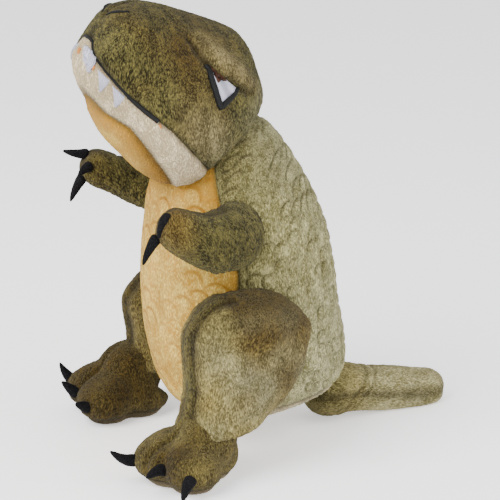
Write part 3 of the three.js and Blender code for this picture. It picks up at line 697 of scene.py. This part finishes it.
class DINO_OT_tail(bpy.types.Operator):
    """Sews and stuffs the tail."""

    bl_idname = "dino.tail"
    bl_label = "Tail"

    def execute(self, context):
        obj = stuffed("tail", TAIL, 1.6 * MM)
        seams(obj, {"top": ["tail_top_panel"], "under": ["tail_under_panel"]})
        rows = points(obj)
        low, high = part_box("tail_stuffing")
        along = (rows[:, 1] - low.y) / (high.y - low.y)
        leaning = along - 0.3 * (rows[:, 2] - 0.01) / 0.02
        folds = sum(np.exp(-(((leaning - at) / 0.018) ** 2)) for at in TAIL_CREASES)
        root = fade(along, 0.02, 0.3)
        soft = clouds(rows, 14 * MM, 31)
        tip = np.clip((along - 0.35) / 0.5, 0, 1)
        store(obj, "raise", TAIL_FULLNESS * tip + TAIL_FULLNESS * root - 0.7 * folds)
        # Painted shade in the folds.
        store(obj, "crease", 0.5 * folds)
        end = np.clip((along - 0.6) / 0.4, 0, 1)
        # Darker brown at the root, partly painted shade in the fold where the tail meets the body.
        store(obj, "brown", np.clip(0.5 * root + 0.14 * soft + 0.12 * end, 0, 1))
        store(obj, "ochre", 0.14 * (1 - root))
        store(obj, "pale", 0.75 * np.clip((along - 0.25) / 0.2, 0, 1))
        shade = plush("tail plush", [(None, "body_dark", "body_light")], turn=(math.radians(80), 0, 0))
        finish_cover(obj, shade, TAIL)
        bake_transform(obj)
        return {"FINISHED"}


ELBOW_CREASES = (0.42, 0.5, 0.6)  # their places along the arm, from the shoulder
HAND_OCHRE = {"left": 0.16, "right": 0.06}  # how yellow each hand is sprayed


class DINO_OT_arms(bpy.types.Operator):
    """Sews and stuffs both arms."""

    bl_idname = "dino.arms"
    bl_label = "Arms"

    def execute(self, context):
        shade = plush("arm plush", [(None, "head_dark", "head_light")], turn=(math.radians(20), 0, 0))
        for side, sign in SIDES.items():
            nodes = [f"arm_{part}_{side}" for part in ("outer_panel", "inner_panel", "stuffing")]
            obj = stuffed("arm_" + side, nodes, 1.6 * MM)
            seams(obj, {"outer": nodes[:1], "inner": nodes[1:2]})
            rows = points(obj)
            low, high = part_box(nodes[2])
            to_hand = (high.y - rows[:, 1]) / (high.y - low.y)
            folds = sum(np.exp(-(((to_hand - at) / 0.022) ** 2)) for at in ELBOW_CREASES)
            folds = folds * np.clip(0.5 + clouds(rows, 6 * MM, 41), 0, 1)
            soft = clouds(rows, 10 * MM, 42)
            store(obj, "raise", 0.3 + 0.4 * np.clip((to_hand - 0.7) / 0.2, 0, 1) - 0.6 * folds)
            # Painted shade in the elbow folds.
            store(obj, "crease", 0.45 * folds)
            by_seam = fade(np.abs(stored(obj, "in_outer")), 0.5, 3)
            store(obj, "brown", np.clip(0.22 * by_seam + 0.25 * soft, 0, 1))
            hand = np.clip((to_hand - 0.72) / 0.2, 0, 1) * np.clip((rows[:, 2] - low.z) / 0.02, 0, 1)
            store(obj, "ochre", np.clip(HAND_OCHRE[side] * hand, 0, 1))
            finish_cover(obj, shade, nodes)
            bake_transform(obj)
        return {"FINISHED"}


FAR_SIDE_SHADE = {"left": 0, "right": 0.4}  # painted shade: how much more brown the right leg and foot, on the far side, are painted
GUSSET = 4.4  # width of the strip down each leg's front, in mm
HEM_HEIGHT = 9.5 * MM  # from the bottom of the leg's stuffing to its cover's hem


class DINO_OT_legs(bpy.types.Operator):
    """Sews and stuffs both legs, each with a front gusset and a straight hem."""

    bl_idname = "dino.legs"
    bl_label = "Legs"

    def execute(self, context):
        sizes = context.scene.plush_sizes
        shade = plush("leg plush", [
            (None, "limb_dark", "limb_light"), ("in_gusset", "head_dark", "head_light"),
        ])
        for side in SIDES:
            nodes = [f"leg_{part}_{side}" for part in ("outer_panel", "inner_panel", "stuffing")]
            obj = stuffed("leg_" + side, nodes, 2 * MM)
            seams(obj, {"outer": nodes[:1], "inner": nodes[1:2]})
            rows = points(obj)
            low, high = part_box(nodes[2])
            inside = stored(obj, "in_outer")
            front = np.clip((low.y + 0.4 * (high.y - low.y) - rows[:, 1]) / 0.008, 0, 1)
            top = np.clip((rows[:, 2] - (high.z - 0.022)) / 0.018, 0, 1)
            in_gusset = GUSSET / 2 - np.abs(inside - GUSSET / 2)
            second = np.where(front > 0.2, np.abs(inside - GUSSET), 99)
            store(obj, "in_gusset", np.where(front > 0.5, in_gusset, -1))
            store(obj, "seam_away", np.minimum(np.abs(inside), second))
            soft = clouds(rows, 14 * MM, 51)
            rear = 1 - front
            rim = fade(np.abs(inside), 7, 24)
            line, scale = scallops(
                rows[:, 1] + 0.003 * soft, rows[:, 2], 1.35 * sizes.scale_pitch, -0.5, 0.5 * MM, 7.0)
            flat_side = np.clip((np.abs(inside) - 4) / 5, 0, 1)
            store(obj, "raise", (0.1 * scale - 0.45 * line) * flat_side + 0.3)
            # Painted shade in the scale lines.
            store(obj, "crease", 0.35 * line * flat_side)
            # Partly painted shade: darker at the thigh's rear rim, at its top by the body, and over the far
            # leg; the rest is airbrush.
            store(obj, "brown", np.clip(
                rim * rear * np.clip((rows[:, 2] - low.z - 0.012) / 0.02, 0, 1) + 0.35 * top + 0.16 * soft
                + FAR_SIDE_SHADE[side], 0, 0.9))
            store(obj, "pale", 0.6 * flat_side * np.clip(0.5 + soft, 0, 1) * (1 - top))
            store(obj, "ochre", 0.08 * np.clip(0.4 - soft, 0, 1) * (1 - top))
            hem = low.z + HEM_HEIGHT
            under = np.clip((hem - rows[:, 2]) / 0.006, 0, 1)
            rows[:, 2] = np.where(rows[:, 2] < hem, hem - 0.3 * (hem - rows[:, 2]), rows[:, 2])
            flare = 1.6 * MM * fade(np.abs(rows[:, 2] - hem), 0, 6 * MM)
            rows += normals(obj) * (flare * (1 - under))[:, None] * (1, 1, 0)
            place(obj, rows)
            finish_cover(obj, shade, nodes)
            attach(obj, "leg_" + side)
        return {"FINISHED"}


# The deep crease beside the outer toe: out from the foot's middle, forward of the ankle, and up, in mm.
TOE_CREASE = [(9, 13, 24), (10, 17, 20), (13, 19, 17.5), (16, 21, 15.5), (18.5, 22.5, 12), (19.5, 23, 7)]


class DINO_OT_feet(bpy.types.Operator):
    """Sews and stuffs both feet, each with creases between its toes and an ankle that fills the leg's hem."""

    bl_idname = "dino.feet"
    bl_label = "Feet"

    def execute(self, context):
        shade = plush("foot plush", [
            (None, "limb_dark", "limb_light"), ("in_sole", "cream_dark", "cream_light"),
        ])
        for side, sign in SIDES.items():
            nodes = [f"{part}_{side}" for part in ("foot_top_panel", "sole", "foot_stuffing")]
            low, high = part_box(nodes[2])
            middle = (low.x + high.x) / 2
            ankle = Vector((middle, high.y - 0.0135, high.z - 0.001)), 13 * MM
            obj = stuffed("foot_" + side, nodes, 1.6 * MM, plug=ankle)
            seams(obj, {"top": nodes[:1], "sole": nodes[1:2]})
            rows = points(obj)
            to_toes = np.clip((high.y - rows[:, 1]) / (high.y - low.y), 0, 1)
            cleft = np.exp(-(((rows[:, 0] - middle - sign * 0.5 * MM) / (1.4 * MM)) ** 2))
            cleft = cleft * np.clip((to_toes - 0.35) / 0.25, 0, 1)
            cleft = cleft * np.clip((rows[:, 2] - 3 * MM) / (5 * MM), 0, 1)
            soft = clouds(rows, 12 * MM, 61)
            line = [
                (middle + sign * out * MM, ankle[0].y - ahead * MM, up * MM) for out, ahead, up in TOE_CREASE
            ]
            away, _ = along_line(rows, line)
            deep = np.exp(-((away / (1.5 * MM)) ** 2))
            store(obj, "raise", 0.4 - 1.4 * cleft - 2.2 * deep + 0.8 * np.exp(-((away / (6 * MM)) ** 2)))
            # Painted shade in the toe cleft and the deep crease.
            store(obj, "crease", np.maximum(0.4 * cleft, 0.9 * deep))
            # Brown airbrush, with painted shade over the far foot.
            store(obj, "brown", np.clip(
                0.38 + 0.25 * np.clip((to_toes - 0.5) / 0.4, 0, 1) + 0.35 * soft
                + 0.3 * np.clip(sign * (rows[:, 0] - middle) / 0.008, 0, 1) + FAR_SIDE_SHADE[side], 0, 0.95))
            finish_cover(obj, shade, nodes)
            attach(obj, "foot_" + side)
        return {"FINISHED"}


# ---------------------------------------------------------------- embroidery


def satin(name, thread, pitch, dark=0.75):
    """Satin stitch: glossy parallel threads. The mesh keeps `thread`, the distance across them in metres."""
    r = Recipe(name)
    wave = r.math("SINE", r.math("MULTIPLY", r.number("thread"), 2 * math.pi / pitch))
    fray = r.math("SUBTRACT", r.grain(0.3 * MM), 0.5)
    ridge = r.math("ADD", r.math("MULTIPLY", wave, 0.5), r.math("MULTIPLY", fray, 1.2))
    shade = r.between(ridge, -0.7, 0.5, dark, 1.0)
    r.links.new(r.mix(1.0, thread, r.grey(shade), "MULTIPLY"), r.shader.inputs["Base Color"])
    relief = r.add("ShaderNodeBump", {"Height": ridge, "Strength": 0.7, "Distance": 0.25 * MM})
    r.links.new(relief.outputs[0], r.shader.inputs["Normal"])
    r.shader.inputs["Roughness"].default_value = 0.6
    r.shader.inputs["Specular IOR Level"].default_value = 0.25
    return r.material


def on_head(tree, forward, up, across, height=0.0):
    """The point of the head's cover at such a place, or the nearest one, raised by height."""
    for _ in range(4):
        hit, normal, _, _ = tree.find_nearest(from_head(forward, up, across))
        across = (hit.x - MIDDLE) / MM
    return hit + normal * height


def finish_stitching(obj, shade, nodes):
    """Gives embroidery its thread, hides the CAD nodes it replaces, and bakes its place into its mesh."""
    obj.data.materials.clear()
    obj.data.materials.append(shade)
    alone(obj)
    bpy.ops.object.shade_smooth()
    if nodes:
        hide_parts(*nodes)
    bend_at_neck(obj)


def patch(name, tree, corners, sign, height, shade, nodes=(), cuts=20):
    """A satin stitched patch that lies on the plush. Each corner is forward, up and across on the head.
    The threads run from the first two corners to the last two."""
    bpy.ops.object.select_all(action="DESELECT")
    bpy.ops.mesh.primitive_grid_add(x_subdivisions=cuts, y_subdivisions=cuts, size=1)
    obj = bpy.context.active_object
    obj.name = obj.data.name = name
    a, b, c, d = (np.array(corner, float) for corner in corners)
    rows, threads = [], []
    for x, y, _ in points(obj):
        s, t = x + 0.5, y + 0.5
        forward, up, across = (1 - t) * ((1 - s) * a + s * b) + t * ((1 - s) * d + s * c)
        rim = max(abs(2 * x), abs(2 * y)) ** 5
        rows.append(on_head(tree, forward, up, sign * across, height * (1 - 1.2 * rim)))
        threads.append(s * np.linalg.norm(b - a) * MM)
    place(obj, np.array(rows))
    store(obj, "thread", threads)
    facing = Vector(rows[len(rows) // 2]) - from_head(20, 0, 0)
    if obj.data.polygons[len(obj.data.polygons) // 2].normal.dot(facing) < 0:
        edit(obj, (bpy.ops.mesh.flip_normals, {}))
    modify(obj, "SOLIDIFY", thickness=0.9 * MM, offset=-1)
    finish_stitching(obj, shade, nodes)


def stitched_line(name, line, widths, shade, nodes=()):
    """A raised line of satin stitch through some points. widths, in mm, are spread evenly along it."""
    bpy.ops.object.select_all(action="DESELECT")
    curve = bpy.data.curves.new(name, "CURVE")
    curve.dimensions = "3D"
    curve.bevel_depth = 1
    curve.bevel_resolution = 2
    curve.use_fill_caps = True
    spline = curve.splines.new("POLY")
    spline.points.add(len(line) - 1)
    for i, (point, where) in enumerate(zip(spline.points, line)):
        point.co = (*where, 1)
        point.radius = np.interp(i / (len(line) - 1), np.linspace(0, 1, len(widths)), widths) * MM / 2
    obj = bpy.data.objects.new(name, curve)
    bpy.context.scene.collection.objects.link(obj)
    alone(obj)
    bpy.ops.object.convert(target="MESH")
    obj = bpy.context.active_object
    obj.name = obj.data.name = name
    _, share = along_line(points(obj), line)
    total = np.linalg.norm(np.diff(np.array(line), axis=0), axis=1).sum()
    store(obj, "thread", share * total)
    finish_stitching(obj, shade, nodes)


def course(tree, corners, sign, height, step=0.9):
    """Points along a bent line on the head, a step apart at most."""
    found = []
    for start, end in zip(np.array(corners[:-1], float), np.array(corners[1:], float)):
        count = max(2, math.ceil(np.linalg.norm(end - start) / step))
        for i in range(count):
            forward, up, across = start + (end - start) * i / count
            found.append(on_head(tree, forward, up, sign * across, height))
    forward, up, across = corners[-1]
    found.append(on_head(tree, forward, up, sign * across, height))
    return found


LIP_WIDTHS = [2.2, 2, 1.2, 0.9, 1, 1.6, 1, 0.9, 1.2, 2, 2.2]  # in mm, from one mouth corner to the other
# Places on the head: forward from the mouth corner, up across the snout, and out from the middle, in mm.
EYE = [(33.5, 27, 21), (33, 26.5, 22), (19, 20.5, 26), (17.5, 31, 22)]
EYE_RING = [(17.5, 31.5, 22), (18.5, 20, 26), (26, 23, 25), (34, 26.5, 21)]
IRIS = [(32.5, 27.5, 21), (32, 26, 22), (26, 24.5, 24), (23, 29.5, 23)]
TEETH = [
    [(65, -3.5, 3), (61.5, -5, 11.5), (59, -9.5, 10), (59, -9.5, 9.5)],
    [(59, -7, 13.5), (53, -6.5, 17.5), (50.5, -12, 13.5), (51, -12, 13.5)],
    [(51.5, -7, 18), (45, -6, 20.5), (43, -11.5, 17.5), (43.5, -11.5, 17.5)],
]
NOSTRIL = [(69, 10.5, 2.5), (69, 12.5, 4.5), (68.5, 14.5, 8), (67, 17, 10.5)]
TOOTH_MARKS = [
    [(65, -5.5, 0.5), (64, -7.5, 0.5)],
    [(60, -7, 12), (59, -8.5, 12)],
    [(29.5, -3, 25), (28, -3.5, 25)],
]
LIP_SIDE = [(30.5, 25), (36, 23.5), (44, 21), (51, 18.5), (57, 15.5), (62, 11), (65, 4.5)]


class DINO_OT_face(bpy.types.Operator):
    """Embroiders the lips, teeth, eyes and nostrils."""

    bl_idname = "dino.face"
    bl_label = "Face"

    def execute(self, context):
        colours = context.scene.plush_colours
        tree = surface_of(bpy.data.objects["head"])
        white = satin("white satin stitch", colours.white_thread, 0.8 * MM, 0.5)
        black = satin("black satin stitch", colours.black_thread, 0.5 * MM, 0.4)
        brown = satin("brown satin stitch", colours.brown_thread, 0.5 * MM, 0.5)
        orange = satin("orange thread", colours.orange_thread, 0.5 * MM, 0.6)
        half = [(forward, lip_height(forward, across), across) for forward, across in LIP_SIDE]
        whole = half + [(forward, up, -across) for forward, up, across in reversed(half)]
        stitched_line(
            "lips", course(tree, whole, 1, 0.1 * MM), LIP_WIDTHS, black, ["lip_stitching"])
        for side, sign in SIDES.items():
            patch(f"eye_white_{side}", tree, EYE, sign, 0.6 * MM, white, [f"eye_{side}"])
            patch(f"eye_brown_{side}", tree, IRIS, sign, 1.0 * MM, brown, [f"iris_{side}"])
            stitched_line(
                f"eye_ring_{side}", course(tree, EYE_RING, sign, 0.4 * MM), [1.2, 2.4, 2.6, 2.6, 2.2], black)
            for i, corners in enumerate(TEETH, 1):
                patch(
                    f"satin_tooth_{side}_{i}", tree, corners, sign, 0.6 * MM, white,
                    [f"tooth_{side}_{i}"])
            for i, corners in enumerate(TOOTH_MARKS, 1):
                mark = course(tree, corners, sign, 0.1 * MM)
                stitched_line(f"tooth_mark_{side}_{i}", mark, [1, 0.8], orange)
            stitched_line(
                f"satin_nostril_{side}", course(tree, NOSTRIL, sign, 0.15 * MM), [0.6, 1.3, 0.6], black,
                [f"nostril_{side}"])
        return {"FINISHED"}


def black_cloth():
    """Brushed black cloth."""
    r = Recipe("claw cloth")
    fuzz = r.grain(0.35 * MM, (1, 1, 2), detail=3.0)
    cloth = bpy.context.scene.plush_colours.black_cloth
    shown = r.mix(r.between(fuzz, 0.35, 0.75), cloth, (0.012, 0.011, 0.013))
    relief = r.add("ShaderNodeBump", {"Height": fuzz, "Strength": 0.6, "Distance": 0.3 * MM})
    r.links.new(shown, r.shader.inputs["Base Color"])
    r.links.new(relief.outputs[0], r.shader.inputs["Normal"])
    r.shader.inputs["Roughness"].default_value = 0.9
    r.shader.inputs["Specular IOR Level"].default_value = 0.1
    return r.material


CLAW_SHARE = {"hand": (0.85, 1.0, 0.6), "foot": (1.0, 0.85, 0.8)}  # how much of each claw shows, in order
CLAW_DROOP = {"hand": (1, 1.6, 1), "foot": (-1.5, 1.2, 1.6)}  # how far its tip hangs, in mm


class DINO_OT_claws(bpy.types.Operator):
    """Makes the stuffed cloth claws of the hands and feet."""

    bl_idname = "dino.claws"
    bl_label = "Claws"

    def execute(self, context):
        shade = black_cloth()
        for limb, part, holder in (("arm", "hand", "arm_stuffing"), ("foot", "foot", "foot_stuffing")):
            for side in SIDES:
                for i, share in enumerate(CLAW_SHARE[part], 1):
                    node = f"{part}_claw_{side}_{i}"
                    obj = copy_nodes(f"claw_{part}_{side}_{i}", [node])
                    modify(obj, "SUBSURF", levels=3, render_levels=3)
                    rows = points(obj)
                    away = away_from(rows, f"{holder}_{side}")
                    order = np.argsort(away)
                    root, tip = rows[order[:40]].mean(axis=0), rows[order[-1]]
                    axis = (tip - root) / np.linalg.norm(tip - root)
                    along = (rows - root) @ axis
                    t = np.clip(along / np.linalg.norm(tip - root), 0, 1)
                    across = rows - root - along[:, None] * axis
                    down = np.array((0, 0, -1)) - axis * -axis[2]
                    thick = 0.95 + 0.35 * (1 - t)
                    rows = root + (along * share - 1.2 * MM)[:, None] * axis + across * thick[:, None]
                    rows = rows + down * (CLAW_DROOP[part][i - 1] * MM * t ** 2)[:, None]
                    place(obj, rows)
                    push(obj, 0.12 * MM * clouds(rows, 0.7 * MM, i))
                    obj.data.materials.append(shade)
                    alone(obj)
                    bpy.ops.object.shade_smooth()
                    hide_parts(node)
                    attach(obj, f"{limb}_{side}")
        return {"FINISHED"}


# ---------------------------------------------------------------- studio


class DINO_OT_stage(bpy.types.Operator):
    """Sets up the camera, the floor and soft studio light."""

    bl_idname = "dino.stage"
    bl_label = "Studio"

    def execute(self, context):
        azimuth, elevation, distance = math.radians(66), math.radians(17), 0.9
        target = Vector((0.0038, -0.0109, 0.082))
        level = math.cos(elevation)
        back = Vector((math.sin(azimuth) * level, -math.cos(azimuth) * level, math.sin(elevation)))
        bpy.ops.object.camera_add(location=target + back * distance)
        camera = context.active_object
        camera.rotation_mode = "QUATERNION"
        camera.rotation_quaternion = (-back).to_track_quat("-Z", "Y")
        camera.data.sensor_width = SENSOR
        camera.data.lens = LENS
        context.scene.camera = camera
        bpy.ops.mesh.primitive_circle_add(vertices=96, radius=4, fill_type="NGON", location=(0, 0, -0.0003))
        floor = context.active_object
        floor.name = "floor"
        r = Recipe("pale floor")
        r.shader.inputs["Base Color"].default_value = (0.95, 0.95, 0.95, 1)
        r.shader.inputs["Emission Color"].default_value = (1, 1, 1, 1)
        r.shader.inputs["Emission Strength"].default_value = 0.6
        r.shader.inputs["Roughness"].default_value = 0.9
        floor.data.materials.append(r.material)
        world = bpy.data.worlds.new("studio")
        world.use_nodes = True
        world.node_tree.nodes["Background"].inputs["Color"].default_value = (1, 1, 1, 1)
        world.node_tree.nodes["Background"].inputs["Strength"].default_value = 1.1
        context.scene.world = world
        right = back.cross(Vector((0, 0, 1))).normalized() * -1
        for name, direction, energy, size in (
            ("key", back * 0.9 - right * 0.9 + Vector((0, 0, 0.9)), 14, 0.6),
            ("fill", back * 0.6 + right * 1.2 + Vector((0, 0, 0.5)), 7, 0.9),
        ):
            place_at = target + direction.normalized() * 0.9
            bpy.ops.object.light_add(type="AREA", location=place_at)
            lamp = context.active_object
            lamp.name = name
            lamp.data.energy = energy
            lamp.data.size = size
            lamp.rotation_mode = "QUATERNION"
            lamp.rotation_quaternion = (target - place_at).to_track_quat("-Z", "Y")
        return {"FINISHED"}


class DINO_PT_panel(bpy.types.Panel):
    """Buttons that make each part of the toy."""

    bl_label = "Plush dinosaur"
    bl_idname = "DINO_PT_panel"
    bl_space_type = "VIEW_3D"
    bl_region_type = "UI"
    bl_category = "Plush"

    def draw(self, context):
        for step in STEPS:
            self.layout.operator(step.bl_idname)


STEPS = (
    DINO_OT_stage, DINO_OT_torso, DINO_OT_head, DINO_OT_face, DINO_OT_tail, DINO_OT_arms, DINO_OT_legs,
    DINO_OT_feet, DINO_OT_claws,
)
CLASSES = (PlushSizes, PlushColours, *STEPS, DINO_PT_panel)


def register():
    for cls in CLASSES:
        bpy.utils.register_class(cls)
    bpy.types.Scene.plush_sizes = bpy.props.PointerProperty(type=PlushSizes)
    bpy.types.Scene.plush_colours = bpy.props.PointerProperty(type=PlushColours)


def unregister():
    del bpy.types.Scene.plush_sizes
    del bpy.types.Scene.plush_colours
    for cls in reversed(CLASSES):
        bpy.utils.unregister_class(cls)


def main():
    """Makes every piece."""
    register()
    for step in STEPS:
        group, name = step.bl_idname.split(".")
        getattr(getattr(bpy.ops, group), name)()


if __name__ == "__main__":
    main()
